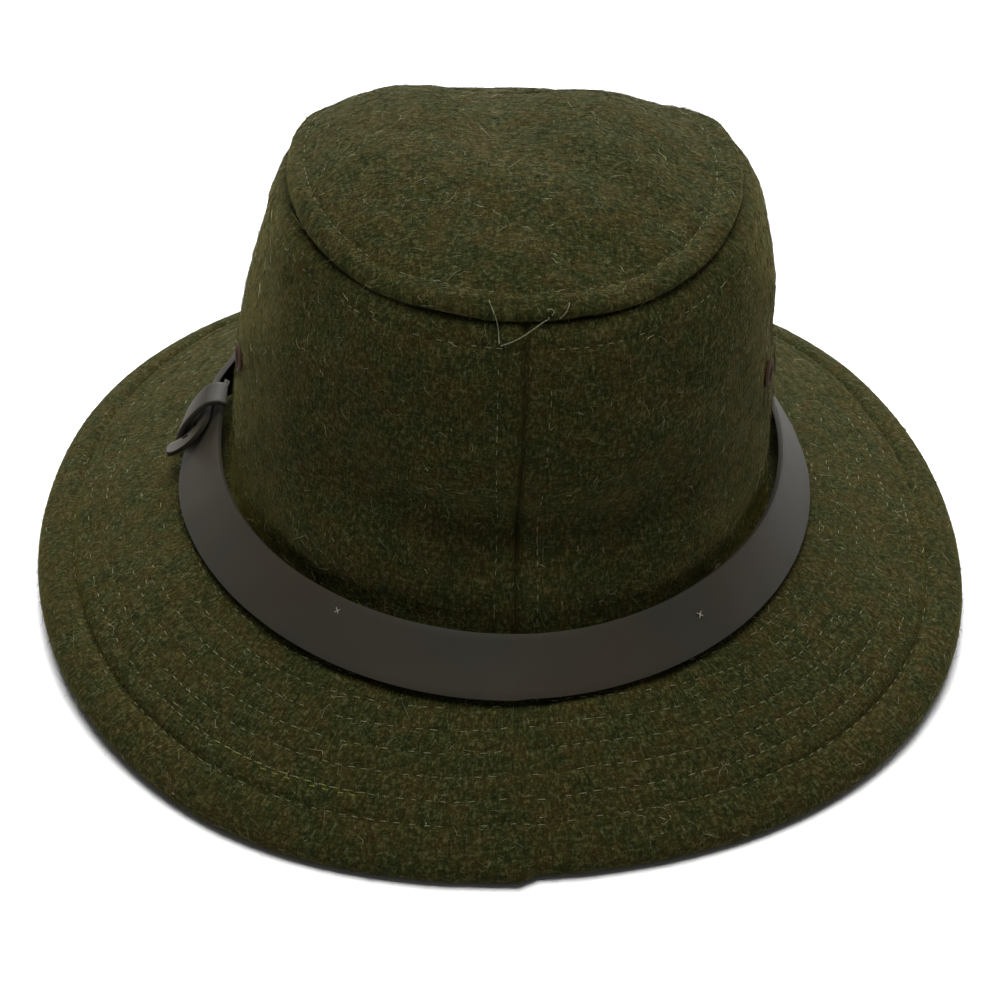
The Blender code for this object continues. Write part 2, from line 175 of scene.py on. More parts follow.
# Rolled edge of the brim: distance in from the rim in mm, height as a share of the roll
ROLL_ROWS = np.array([(0.0, 0.1), (2.4, 0.8), (7.8, 0.9), (10.6, 0.5), (13.6, 0.2), (18.0, 0.0)])
ROLL_HEIGHT = 1.5 * MM
WELT_GROOVE_WIDTH = 1.1 * MM
# Turn in degrees inside which the welt's groove fades at the front
WELT_FADE = 46.0
ROW_WIDTH = 0.85 * MM
ROW_PUFF = 0.16 * MM
# The brim's rows of places reach this far in, and close up past the first distance
BRIM_CLOSE_FROM = 52.3 * MM
BRIM_REACH = 70 * MM

WALL_COLUMNS = 210
TIP_COLUMNS = 281
BRIM_COLUMNS = 340
STRAP_GRID = (300, 9)
TAIL_COLUMNS = 22
KEEPER_GRID = (40, 9)
EYELET_WRAPS = 30
# Share of its pitch that a stitch is long
STITCH_SHARE = 0.58
# Share of the nap's fibres that the underside of the brim has
UNDER_NAP = 0.3

# Camera at the photograph's view, and its lens for a 36 mm sensor
CAMERA_PLACE = (-0.02579, -0.61819, 0.45015)
CAMERA_TURN = (54.785, -0.396, -2.199)
CAMERA_LENS = 83.04
SENSOR = 36.0
# Name, place, size and power in watts of each soft light, and the place they are turned to
LIGHTS = (
    ("top_softbox", (0.0, 0.0, 1.35), 0.8, 26.0),
    ("back_softbox", (0.0, 1.15, 0.8), 0.8, 31.0),
    ("right_softbox", (1.15, 0.75, 0.35), 0.7, 3.0),
)
LIGHT_AIM = (0.0, 0.0, 0.06)
SKY_STRENGTH = 0.1


def linear(code):
    """Linear colour of an sRGB hex code."""
    values = [int(code[start:start + 2], 16) / 255 for start in (1, 3, 5)]
    return [v / 12.92 if v <= 0.04045 else ((v + 0.055) / 1.055) ** 2.4 for v in values]


def measure(name, description, size):
    """Length property with its default in millimetres."""
    return FloatProperty(name=name, description=description, default=size * MM, unit="LENGTH")


class HatSizes(bpy.types.PropertyGroup):
    """Sizes of the seams, the stitches and the nap."""

    row_spacing: measure("Brim row spacing", "Distance between the brim's quilting rows", 5.9)
    row_count: IntProperty(
        name="Brim rows", description="Quilting rows inside the welt", default=6, min=0)
    row_depth: measure("Row depth", "How deep a quilting row sinks into the wool", 0.3)
    welt_depth: measure("Welt groove depth", "Depth of the groove inside the brim's edge", 2.3)
    brim_pitch: measure("Brim stitch pitch", "From one brim stitch to the next", 4.0)
    crown_pitch: measure("Crown stitch pitch", "From one crown stitch to the next", 3.3)
    thread: measure("Thread radius", "Radius of the sewing thread", 0.17)
    topstitch_tip: measure("Tip topstitch", "Distance of the tip's topstitch from its seam", 8.0)
    topstitch_wall: measure(
        "Wall topstitch", "Distance of the walls' topstitches from their seams", 6.0)
    nap_length: measure("Nap length", "Mean length of a fibre of the nap", 2.4)
    nap_radius: measure(
        "Nap half width", "Half the width of a fibre, drawn coarse enough to show", 0.042)
    nap_count: IntProperty(
        name="Nap fibres", description="Fibres on each wool piece", default=13000, min=0)


def colour(name, description, code):
    """Colour property with a hex code as its default."""
    return FloatVectorProperty(
        name=name, description=description, default=linear(code), subtype="COLOR", min=0, max=1)


class HatColours(bpy.types.PropertyGroup):
    """Colours of the wool, the leather and the threads."""

    wool_olive: colour("Olive", "Main colour of the heather", "#28280f")
    wool_brown: colour("Brown", "Brown patches of the heather", "#33270f")
    wool_green: colour("Green", "Green patches of the heather", "#17220d")
    wool_dark: colour("Dark fleck", "Darkest flecks of the heather", "#0b0c05")
    wool_pale: colour("Pale fleck", "Palest flecks of the heather", "#545235")
    leather: colour("Leather", "Strap leather", "#29261e")
    stitch: colour("Stitch thread", "Thread of the topstitching", "#63644a")
    tack: colour("Tack thread", "Bright thread of the brim's back-tacks", "#6b6e2c")
    cross: colour("Strap tack", "Pale thread of the strap's crosses", "#8f8a7c")
    eyelet: colour("Eyelet thread", "Wound thread of the eyelets", "#37220f")


def around(turn, sides):
    """Value at a turn, eased between the front, right, back and left."""
    front, right, back, left = sides
    ahead = np.cos(turn)
    aside = np.sin(turn)
    end = np.where(ahead > 0, front, back)
    flank = np.where(aside > 0, right, left)
    return end * ahead**2 + flank * aside**2


def flowing(value, knots, values):
    """Smooth curve through the rows of a table."""
    slopes = np.gradient(values, knots)
    place = np.clip(np.searchsorted(knots, value) - 1, 0, len(knots) - 2)
    span = knots[place + 1] - knots[place]
    s = np.clip((value - knots[place]) / span, 0.0, 1.0)
    rise = (1 + 2 * s) * (1 - s) ** 2 * values[place] + s * s * (3 - 2 * s) * values[place + 1]
    lean = s * (1 - s) ** 2 * slopes[place] - s * s * (1 - s) * slopes[place + 1]
    return rise + span * lean


def unit(vectors):
    """Vectors of length one."""
    return vectors / np.maximum(np.linalg.norm(vectors, axis=-1, keepdims=True), 1e-12)


def waves(points, length, seed):
    """Even random swell over places, about one high, with waves near a length."""
    rng = np.random.default_rng(seed)
    ways = unit(rng.normal(size=(14, 3))) / (length * rng.uniform(0.7, 1.6, (14, 1)))
    phases = rng.uniform(0, 2 * math.pi, 14)
    return np.sin(2 * math.pi * (points @ ways.T) + phases).sum(-1) / math.sqrt(14)


def sway(points, swells):
    """Swell over places from rows of height, length and seed."""
    return sum(height * waves(points, length, seed) for height, length, seed in swells)


def signed(turn):
    """Turn in degrees from -180 to 180."""
    return (np.degrees(turn) + 180.0) % 360.0 - 180.0


def ridge(distance, width):
    """One at no distance, falling smoothly to nothing over a width."""
    return np.exp(-((distance / width) ** 2))


def furrow(distance, at, depth, width, puff, spread):
    """Relief of a stitched line at a distance from its seam, with the felt puffed between."""
    return puff * ridge(distance - at / 2, spread) - depth * ridge(distance - at, width)


def lean_matrix():
    """Turn of the crown's own frame over the floor."""
    cr, sr = math.cos(LEAN_RIGHT), math.sin(LEAN_RIGHT)
    cb, sb = math.cos(LEAN_BACK), math.sin(LEAN_BACK)
    right = np.array([(cr, 0, sr), (0, 1, 0), (-sr, 0, cr)])
    back = np.array([(1, 0, 0), (0, cb, sb), (0, -sb, cb)])
    return right @ back


LEAN = lean_matrix()


def leaned(points):
    """Places in the crown's own frame, over the floor."""
    return points @ LEAN.T + np.array((0.0, 0.0, BASE_HEIGHT))


def base_oval(turn, out=0.0):
    """Place on the base ring in the crown's frame, moved outwards, and its outward way."""
    turn = np.asarray(turn, float)
    none = np.zeros_like(turn)
    point = np.stack((BASE_HALF_WIDTH * np.sin(turn), -BASE_HALF_LENGTH * np.cos(turn), none), -1)
    outward = unit(np.stack(
        (np.sin(turn) / BASE_HALF_WIDTH, -np.cos(turn) / BASE_HALF_LENGTH, none), -1))
    return point + outward * np.asarray(out)[..., None], outward


def tip_ring(turn):
    """Seam between the walls and the tip in the crown's frame."""
    aside = np.sin(turn)
    ahead = np.cos(turn)
    return np.stack((
        TIP_RIGHT + TIP_HALF_WIDTH * np.sign(aside) * np.abs(aside) ** TIP_ROUNDNESS,
        -TIP_FORWARD - TIP_HALF_LENGTH * np.sign(ahead) * np.abs(ahead) ** TIP_ROUNDNESS,
        around(turn, SEAM_HEIGHT),
    ), -1)


def wall_place(turn, height):
    """Outer face of the wall in the crown's frame, height as a share, past 1 tucked in."""
    share = np.clip(height, 0.0, 1.0)
    tuck = np.maximum(height - 1.0, 0.0)
    base, outward = base_oval(turn)
    top = tip_ring(turn)
    base[..., 2] = FIT_GAP
    reach = (top[..., 2] - FIT_GAP) * (1.0 - share)
    curl = SEAM_CURL * np.maximum(0.0, 1.0 - reach / CURL_REACH) ** 2
    swell = sum(
        around(turn, [1.0 if side == which else 0.0 for side in range(4)])
        * flowing(share, WALL_ROWS[:, 0], WALL_ROWS[:, 1 + which])
        for which in range(4)
    )
    dent = 0.0
    for at, above, wide, high, depth in DENTS:
        dent = dent + depth * ridge(signed(turn) - at, wide) * ridge(share - above, high)
    out = WALL_SWELL * swell - DENT_DEPTH * dent - curl - tuck * 100 * MM
    point = base + (top - base) * share[..., None] + outward * out[..., None]
    point[..., 2] += np.minimum(height, 0.0) * 100 * MM + ridge(tuck - 0.008, 0.008) * 0.3 * MM
    return point


def tip_place(turn, way):
    """Outer face of the tip in the crown's frame, from its seam to its middle."""
    share = np.clip(way, 0.0, 1.0)
    tuck = np.maximum(-way, 0.0)
    knots = TIP_ROWS[:, 0]
    reach, rise, right = (flowing(share, knots, TIP_ROWS[:, column]) for column in (1, 2, 3))
    ring = tip_ring(turn)
    _, outward = base_oval(turn)
    middle = np.array(
        (TIP_RIGHT - CREST_LEFT, -TIP_FORWARD, (SEAM_HEIGHT[1] + SEAM_HEIGHT[3]) / 2))
    point = middle + (ring - middle) * reach[..., None]
    point = point - outward * (SEAM_CURL * reach**4 + tuck * 100 * MM)[..., None]
    lift = rise + (right - rise) * np.maximum(0.0, np.sin(turn))
    point[..., 2] += TIP_RISE * lift + SEAM_GAP - tuck * 12 * MM
    return point


def overhang(turn):
    """Plan width of the brim."""
    return around(turn, OVERHANG) + OVERHANG_DIAGONAL * np.sin(2.0 * turn) ** 2


def rim_step(turn, inset=0.0):
    """How far the rim stands past its even curve, smooth away from the step at the front."""
    degrees = signed(turn)
    plain = np.interp(degrees, RIM_ROWS[:, 0], RIM_ROWS[:, 1])
    soft = sum(
        np.interp(degrees + off, RIM_ROWS[:, 0], RIM_ROWS[:, 1]) for off in (-7, -3.5, 0, 3.5, 7)
    ) / 5
    near = ridge(degrees - BRIM_SEAM_TURN / 2, 9.0) * ridge(inset, 6.0 * MM)
    return RIM_STEP * (plain * near + soft * (1.0 - near))


def brim_place(turn, share, relief=0.0):
    """Upper face of the brim above the floor, from the base ring to the rim."""
    base, outward = base_oval(turn)
    inner = leaned(base)
    outer = inner + outward * (overhang(turn) + rim_step(turn))[..., None]
    outer[..., 2] = RIM_HEIGHT + RIM_SIDE_LIFT * np.sin(turn) ** 4
    chord = unit(outer - inner)
    upright = unit(np.array((0.0, 0.0, 1.0)) - chord * chord[..., 2:])
    bow = BRIM_BOW * around(turn, BOW_SHARE) * 4.0 * share * (1.0 - share)
    return inner + (outer - inner) * share[..., None] + upright * (bow + relief)[..., None]


def settle():
    """Shift from the form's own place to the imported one, read from the tip's box."""
    turns = np.linspace(0, 2 * math.pi, 52, endpoint=False)
    rows = TIP_ROWS[:-1, 0]
    points = leaned(tip_place(*np.meshgrid(turns, rows))).reshape(-1, 3)
    low, high = (np.array(corner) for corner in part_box("crown_tip"))
    return np.array((
        (low[0] + high[0] - points[:, 0].min() - points[:, 0].max()) / 2,
        (low[1] + high[1] - points[:, 1].min() - points[:, 1].max()) / 2,
        high[2] - points[:, 2].max(),
    ))


SETTLE = settle()


def normals(points):
    """Outward ways of a sheet of places laid in rows and columns."""
    along = np.gradient(points, axis=1)
    up = np.gradient(points, axis=0)
    return unit(np.cross(along, up))


def wall_face(turn, height, sizes):
    """Wool face of the crown wall, with its seams and topstitch furrows."""
    point = wall_place(turn, height)
    down = (1.0 - np.clip(height, 0, 1)) * around(turn, SEAM_HEIGHT)
    half_width = BASE_HALF_WIDTH + (TIP_HALF_WIDTH - BASE_HALF_WIDTH) * np.clip(height, 0, 1)
    front = np.radians(np.abs(signed(turn))) * half_width
    back = np.radians(180.0 - np.abs(signed(turn))) * half_width
    aside = np.minimum(front, back)
    relief = -SEAM_DEPTH * ridge(aside, SEAM_WIDTH)
    relief += furrow(aside, sizes.topstitch_wall, *WALL_SIDE_FURROW)
    relief += furrow(down, sizes.topstitch_wall, *WALL_TOP_FURROW)
    relief += sway(point, WALL_SWAY)
    crease = 0.33 + 0.07 * np.cos(2 * turn + 0.6) - 0.04 * np.cos(5 * turn)
    sunk = ridge(signed(turn), CREASE_SPREAD) * ridge(height - crease, CREASE_HIGH)
    relief -= CREASE_DEPTH * sunk
    _, outward = base_oval(turn)
    return leaned(point + outward * relief[..., None]) + SETTLE


def tip_face(turn, way, sizes):
    """Wool face of the tip, puffed over its seam and drawn in along its topstitch."""
    point = tip_place(turn, way)
    ring = tip_place(turn, np.zeros_like(way))
    away = np.linalg.norm(point - ring, axis=-1)
    point[..., 2] += furrow(away, sizes.topstitch_tip, *TIP_FURROW) + sway(point, TIP_SWAY)
    return leaned(point) + SETTLE


def brim_relief(inset, along, turn, sizes):
    """Height of the brim's wool face over its even form, by the distance from the rim."""
    knots = ROLL_ROWS[:, 0] * MM
    roll = ROLL_HEIGHT * flowing(np.minimum(inset, knots[-1]), knots, ROLL_ROWS[:, 1])
    deep = 1.0 - 0.9 * ridge(signed(turn), WELT_FADE) ** 0.7
    groove = sizes.welt_depth * ridge(inset - WELT_WIDTH, WELT_GROOVE_WIDTH)
    relief = roll * (0.3 + 0.7 * deep) - groove * deep
    drawn = 0.7 + 0.3 * np.cos(2 * math.pi * along / sizes.brim_pitch)
    for row in range(1, sizes.row_count + 1):
        at = WELT_WIDTH + row * sizes.row_spacing
        relief -= sizes.row_depth * drawn * ridge(inset - at, ROW_WIDTH)
        relief += ROW_PUFF * ridge(inset - at + sizes.row_spacing / 2, 1.8 * MM)
    seam = np.minimum(np.abs(signed(turn) - BRIM_SEAM_TURN), 180.0 - np.abs(signed(turn)))
    return relief - 0.25 * MM * ridge(np.radians(seam) * BASE_HALF_WIDTH * 1.5, 0.9 * MM)


def brim_face(turn, inset, upper, sizes):
    """Wool face of the brim at a distance in from its rim, on its upper or its under side."""
    width = overhang(turn) + rim_step(turn)
    share = np.clip((overhang(turn) + rim_step(turn, inset) - inset) / width, 0.0, 1.0)
    along = turn * (BASE_HALF_WIDTH + BASE_HALF_LENGTH + 2 * width) / 2
    depth = 2 * WALL + FIT_GAP
    bend = depth / 2
    drop = bend - np.sqrt(np.maximum(bend**2 - np.maximum(bend - inset, 0.0) ** 2, 0.0))
    level = brim_place(turn, share)
    swell = sway(level, BRIM_SWAY) * np.minimum(inset / (20 * MM), 1.0)
    if upper:
        relief = brim_relief(inset, along, turn, sizes) + swell - drop
    else:
        relief = 0.4 * (swell - brim_relief(inset, along, turn, sizes)) + drop - depth
        relief = np.maximum(relief, -depth)
    return brim_place(turn, share, relief) + SETTLE


def band_edges(turn):
    """Lower and upper edge of the strap's outer face, and its outward way."""
    cinched = CINCH * ridge(signed(turn) - CINCH_TURN, CINCH_SPREAD)
    flare = BAND_FLARE * around(turn, FLARE_SHARE) * (1.0 - cinched)
    out = BAND_TOP_GAP * (1.0 - CINCH_CLOSE * cinched) + LEATHER
    low = brim_place(turn, (out + flare) / overhang(turn))
    low[..., 2] += BAND_LIFT
    base, outward = base_oval(turn, out)
    high = leaned(base)
    high[..., 2] = low[..., 2] + np.sqrt(np.maximum(BAND_WIDTH**2 - flare**2, 0.0))
    along = high - low
    lean = (outward * along).sum(-1, keepdims=True) / (along * along).sum(-1, keepdims=True)
    return low, high, unit(outward - along * lean)


def strap_section(turn, across):
    """Strap face at a turn, from its lower edge at -1 to its upper at 1, lapping its start."""
    low, high, face = band_edges(turn)
    lap = math.radians(BAND_START_TURN + 360.0 - TAIL_LAP_TURN)
    share = np.clip((turn - math.radians(TAIL_LAP_TURN)) / lap, 0.0, 1.0)
    eased = share * share * (3.0 - 2.0 * share)
    narrow = 1.0 + (TAIL_WIDTH / BAND_WIDTH - 1.0) * eased
    lift = face * (LEATHER + 2 * FIT_GAP) * eased[..., None]
    return (low + high) / 2 + lift + (high - low) / 2 * (narrow * across)[..., None]


def turned(vectors, axis, angle):
    """Vectors turned about an axis."""
    c, s = np.cos(angle)[..., None], np.sin(angle)[..., None]
    dot = (vectors * axis).sum(-1, keepdims=True)
    return vectors * c + np.cross(axis, vectors) * s + axis * dot * (1 - c)


def tail_way():
    """Middle and edges of the strap where its tail comes free, and the way that it runs."""
    turn = np.full(3, math.radians(TAIL_FREE_TURN))
    across = np.array((-1.0, 0.0, 1.0))
    section = strap_section(turn, across)
    before = strap_section(turn - 0.02, across)
    ahead = unit(section[1] - before[1])
    c, s = math.cos(-TAIL_SPLAY), math.sin(-TAIL_SPLAY)
    way = np.array((ahead[0] * c - ahead[1] * s, ahead[0] * s + ahead[1] * c, ahead[2]))
    return section, way


def tail_section(distance, across):
    """Face of the free tail at a distance along it, narrowing to its point."""
    section, way = tail_way()
    left = TAIL_LENGTH - distance
    half = 0.06 + 0.94 * np.minimum(1.0, left / TAIL_POINT) ** 0.7
    arm = (section[2] - section[0]) / 2 * (half * across)[..., None]
    twist = TAIL_TWIST * distance / TAIL_LENGTH
    return section[1] + turned(arm, way, twist) + way * distance[..., None]


def strap_face(columns, rows):
    """Whole strap face: rows across it, columns along it and on to the tail's point."""
    turns = np.radians(np.linspace(BAND_START_TURN, TAIL_FREE_TURN, columns))
    across = np.linspace(-1.0, 1.0, rows)
    band = strap_section(*np.meshgrid(turns, across))
    steps = TAIL_LENGTH * np.linspace(0.04, 1.0, TAIL_COLUMNS) ** 0.85
    tail = tail_section(*np.meshgrid(steps, across))
    face = np.concatenate((band, tail), 1) + SETTLE
    calm = 1.0 - ridge(np.arange(face.shape[1]) - face.shape[1], 40.0)
    return face + normals(face) * (sway(face, STRAP_SWAY) * calm[None, :])[..., None]


def keeper_face(columns, rows):
    """Outer face of the keeper, arched across the strap."""
    turn = math.radians(KEEPER_TURN)
    ahead = KEEPER_WIDTH / 2 / BASE_HALF_LENGTH
    share, side = np.meshgrid(np.linspace(0, 1, columns), np.linspace(-1, 1, rows))
    low, high, face = band_edges(turn + ahead * side)
    arch = FIT_GAP + KEEPER_RISE * np.sin(math.pi * share) ** 0.3
    place = KEEPER_SHARES[0] + (KEEPER_SHARES[1] - KEEPER_SHARES[0]) * share
    arch -= KEEPER_TUCK * np.maximum(0.0, place - 1.0) / (KEEPER_SHARES[1] - 1.0)
    return low + (high - low) * place[..., None] + face * arch[..., None] + SETTLE


def lay_grid(name, points, uv=None):
    """Grid primitive laid onto rows and columns of places, its UV map in metres."""
    rows, columns = points.shape[:2]
    bpy.ops.object.select_all(action="DESELECT")
    bpy.ops.mesh.primitive_grid_add(
        x_subdivisions=columns - 1, y_subdivisions=rows - 1, size=1.0)
    piece = bpy.context.object
    piece.name = name
    mesh = piece.data
    mesh.name = name
    flat = np.empty(len(mesh.vertices) * 3)
    mesh.vertices.foreach_get("co", flat)
    flat = flat.reshape(-1, 3) + 0.5
    column = np.rint(flat[:, 0] * (columns - 1)).astype(int)
    row = np.rint(flat[:, 1] * (rows - 1)).astype(int)
    mesh.vertices.foreach_set("co", points[row, column].ravel())
    if uv is None:
        steps = np.linalg.norm(np.diff(points, axis=1), axis=-1).mean(0)
        along = np.concatenate(((0.0,), np.cumsum(steps)))
        steps = np.linalg.norm(np.diff(points, axis=0), axis=-1).mean(1)
        up = np.concatenate(((0.0,), np.cumsum(steps)))
        uv = np.stack(np.meshgrid(along, up), -1)
    corners = np.empty(len(mesh.loops), dtype=np.int32)
    mesh.loops.foreach_get("vertex_index", corners)
    layer = mesh.uv_layers.active or mesh.uv_layers.new(name="cloth")
    layer.name = "cloth"
    layer.data.foreach_set("uv", uv[row[corners], column[corners]].ravel())
    mesh.update()
    return piece


def sew_up(piece, fill=False):
    """Merge the places that meet, and close open ends if asked."""
    bpy.ops.object.mode_set(mode="EDIT")
    bpy.ops.mesh.select_all(action="SELECT")
    bpy.ops.mesh.remove_doubles(threshold=1e-6)
    if fill:
        bpy.ops.mesh.select_all(action="DESELECT")
        bpy.ops.mesh.select_mode(type="EDGE")
        bpy.ops.mesh.select_non_manifold(
            extend=False, use_wire=False, use_multi_face=False, use_non_contiguous=False,
            use_verts=False)
        bpy.ops.mesh.fill_holes(sides=0)
        bpy.ops.mesh.select_mode(type="VERT")
    bpy.ops.object.mode_set(mode="OBJECT")
    return piece


def select_only(piece):
    """Make a piece the only one selected, and the active one."""
    bpy.ops.object.select_all(action="DESELECT")
    bpy.context.view_layer.objects.active = piece
    piece.select_set(True)


def apply_all(piece):
    """Apply the modifiers of a piece in their order."""
    select_only(piece)
    for modifier in list(piece.modifiers):
        bpy.ops.object.modifier_apply(modifier=modifier.name)


def thicken(piece, thickness, rounded=0.0):
    """Give a sheet its thickness behind its face, and round its edges if asked."""
    wall = piece.modifiers.new("thickness", "SOLIDIFY")
    wall.thickness = thickness
    wall.offset = -1.0
    wall.use_even_offset = rounded > 0
    if rounded:
        edge = piece.modifiers.new("rounded edge", "BEVEL")
        edge.width = rounded
        edge.segments = 3
        edge.limit_method = "ANGLE"
        edge.angle_limit = math.radians(55)
    apply_all(piece)


def smooth(piece, angle=40.0):
    """Shade a piece smooth, but for edges sharper than an angle."""
    select_only(piece)
    bpy.ops.object.shade_smooth_by_angle(angle=math.radians(angle))


def bore(piece, centre, axis, radius, depth):
    """Cut a round hole through a piece."""
    bpy.ops.object.select_all(action="DESELECT")
    bpy.ops.mesh.primitive_cylinder_add(vertices=28, radius=radius, depth=depth, location=centre)
    drill = bpy.context.object
    from_z = np.array((0.0, 0.0, 1.0))
    turn_axis = np.cross(from_z, axis)
    angle = math.atan2(np.linalg.norm(turn_axis), float(axis[2]))
    drill.rotation_mode = "AXIS_ANGLE"
    drill.rotation_axis_angle = (angle, *unit(turn_axis))
    hole = piece.modifiers.new("hole", "BOOLEAN")
    hole.operation = "DIFFERENCE"
    hole.solver = "EXACT"
    hole.object = drill
    apply_all(piece)
    bpy.data.objects.remove(drill, do_unlink=True)


def dress(piece, look, slot, *nodes):
    """Give a piece its material and its place on the frame, and hide the frame's parts it stands
    for; the slot is not used.
    """
    piece.data.materials.clear()
    piece.data.materials.append(look)
    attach(piece, "root")
    if nodes:
        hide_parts(*nodes)


def mesh_piece(name, points, faces):
    """Mesh object of many small like shapes, from its places and faces."""
    mesh = bpy.data.meshes.new(name)
    mesh.vertices.add(len(points))
    mesh.vertices.foreach_set("co", points.astype(np.float32).ravel())
    mesh.loops.add(faces.size)
    mesh.loops.foreach_set("vertex_index", faces.astype(np.int32).ravel())
    mesh.polygons.add(len(faces))
    starts = np.arange(0, faces.size, faces.shape[1], dtype=np.int32)
    mesh.polygons.foreach_set("loop_start", starts)
    mesh.update(calc_edges=True)
    mesh.shade_smooth()
    piece = bpy.data.objects.new(name, mesh)
    bpy.context.scene.collection.objects.link(piece)
    return piece


def stitch_shape():
    """One plump stitch one long, wide and high, modelled as an even ball."""
    bpy.ops.object.select_all(action="DESELECT")
    bpy.ops.mesh.primitive_uv_sphere_add(segments=5, ring_count=4, radius=0.5)
    ball = bpy.context.object
    work = bmesh.new()
    work.from_mesh(ball.data)
    bmesh.ops.triangulate(work, faces=work.faces)
    points = np.array([vertex.co[:] for vertex in work.verts])
    faces = np.array([[vertex.index for vertex in face.verts] for face in work.faces])
    work.free()
    bpy.data.objects.remove(ball, do_unlink=True)
    return points[:, [2, 0, 1]], faces


def sew(name, lines, pitch, radius, look, hidden=0.1, seed=1):
    """Stitches along lines of places and outward ways, a share of them hidden by the felt."""
    rng = np.random.default_rng(seed)
    shape, faces = stitch_shape()
    placed = []
    for points, outward in lines:
        steps = np.linalg.norm(np.diff(points, axis=0), axis=-1)
        length = np.concatenate(((0.0,), np.cumsum(steps)))
        starts = np.arange(pitch * 0.3, length[-1] - pitch, pitch)
        starts = starts + rng.normal(0, pitch * 0.05, len(starts))
        starts = starts[rng.random(len(starts)) >= hidden]
        ends = starts + pitch * STITCH_SHARE * rng.uniform(0.85, 1.15, len(starts))
        first, last, up = (
            np.stack([np.interp(at, length, values[:, axis]) for axis in range(3)], -1)
            for at, values in ((starts, points), (ends, points), ((starts + ends) / 2, outward))
        )
        run = last - first
        side = unit(np.cross(up, run))
        run = run + side * rng.normal(0, pitch * 0.03, (len(run), 1))
        up = unit(np.cross(run, side))
        centre = (first + last) / 2
        thick = 2 * radius * rng.uniform(0.85, 1.15, (len(run), 1))
        axes = np.stack((run, side * thick, up * thick), 1)
        placed.append(centre[:, None] + np.einsum("vk,nkd->nvd", shape, axes))
    stitches = np.concatenate(placed)
    offsets = np.arange(len(stitches))[:, None, None] * len(shape)
    piece = mesh_piece(name, stitches.reshape(-1, 3), (faces[None] + offsets).reshape(-1, 3))
    dress(piece, look, "heathered_wool")


def line_on(face, turns, across, flip=1.0):
    """Line of places on a face with its outward ways, at turns and one value or one for each."""
    across = np.broadcast_to(across, turns.shape).astype(float)
    here = face(turns, across)
    ahead = face(turns + 1e-3, across) - here
    up = face(turns, across + flip * 1e-4) - here
    return here, unit(np.cross(ahead, up))


def scatter(points, count, rng):
    """Random places on a laid sheet, with their outward ways and the way of its rows."""
    a, b, c, d = points[:-1, :-1], points[:-1, 1:], points[1:, 1:], points[1:, :-1]
    cross = np.cross(c - a, d - b) / 2
    area = np.linalg.norm(cross, axis=-1)
    cell = rng.choice(area.size, count, p=area.ravel() / area.sum())
    i, j = np.unravel_index(cell, area.shape)
    s, t = rng.random((2, count, 1))
    near = a[i, j] * (1 - s) * (1 - t) + b[i, j] * s * (1 - t)
    place = near + c[i, j] * s * t + d[i, j] * (1 - s) * t
    return place, unit(cross[i, j]), unit(d[i, j] - a[i, j])


# Fibre colours of the heather and how often each comes
FIBRES = (
    ("#191b06", 0.27),
    ("#33330f", 0.22),
    ("#1d290b", 0.17),
    ("#3a270c", 0.13),
    ("#5a5a38", 0.14),
    ("#84836a", 0.06),
    ("#434e42", 0.04),
)


def grow_nap(name, sheets, sizes, look, seed, way=None):
    """Short curled wool fibres lying on sheets, joined as narrow ribbons."""
    rng = np.random.default_rng(seed)
    picked = [scatter(points, int(sizes.nap_count * share), rng) for points, share in sheets]
    root, outward, grain = (np.concatenate([pick[k] for pick in picked]) for k in range(3))
    count = len(root)
    if way is not None:
        grain = unit(way - outward * (outward @ way)[:, None])
    swing = rng.normal(0, 0.95, count) + math.pi * rng.integers(0, 2, count)
    run = turned(grain, outward, swing)
    side = np.cross(outward, run)
    length = sizes.nap_length * rng.gamma(5.0, 0.2, (count, 1))
    standing = np.where(rng.random((count, 1)) < 0.07, 0.45, 0.15)
    standing = standing * rng.uniform(0.3, 1.5, (count, 1))
    bow = rng.normal(0, 0.55, (count, 1))
    hook = rng.normal(0, 0.28, (count, 1))
    half = sizes.nap_radius * rng.uniform(0.6, 1.4, (count, 1))
    lines = []
    for s, wide in ((0.0, 0.7), (0.34, 1.0), (0.68, 0.8), (1.0, 0.25)):
        rise = standing * (s * (1.7 - s)) - 0.02 * (1.0 - s)
        sway = bow * s * s + hook * math.sin(5.0 * s)
        lines.append((root + length * (run * s + side * sway + outward * rise), half * wide))
    roll = rng.uniform(-1.0, 1.0, (count, 1))
    flat = unit(side * (1.0 - np.abs(roll)) + outward * roll)
    edges = [at + flat * wide * sign for at, wide in lines for sign in (-1.0, 1.0)]
    points = np.stack(edges, 1)
    points[..., 2] = np.maximum(points[..., 2], 0.1 * MM)
    cells = np.array([(k, k + 1, k + 3, k + 2) for k in (0, 2, 4)])
    faces = (cells[None] + np.arange(count)[:, None, None] * 8).reshape(-1, 4)
    piece = mesh_piece(name, points.reshape(-1, 3), faces)
    chances = np.array([chance for _, chance in FIBRES])
    shades = np.array([linear(code) for code, _ in FIBRES])
    pick = rng.choice(len(FIBRES), count, p=chances / chances.sum())
    tint = shades[pick] * rng.uniform(0.6, 1.4, (count, 1))
    tint = np.repeat(np.concatenate((tint, np.ones((count, 1))), 1), 8, axis=0)
    layer = piece.data.color_attributes.new(name="fibre_tint", type="FLOAT_COLOR", domain="POINT")
    layer.data.foreach_set("color", tint.astype(np.float32).ravel())
    dress(piece, look, "heathered_wool")
    return piece


def new_look(name):
    """Empty material, cleared of its nodes, and its node tree."""
    look = bpy.data.materials.get(name) or bpy.data.materials.new(name)
    look.use_nodes = True
    look.node_tree.nodes.clear()
    return look, look.node_tree


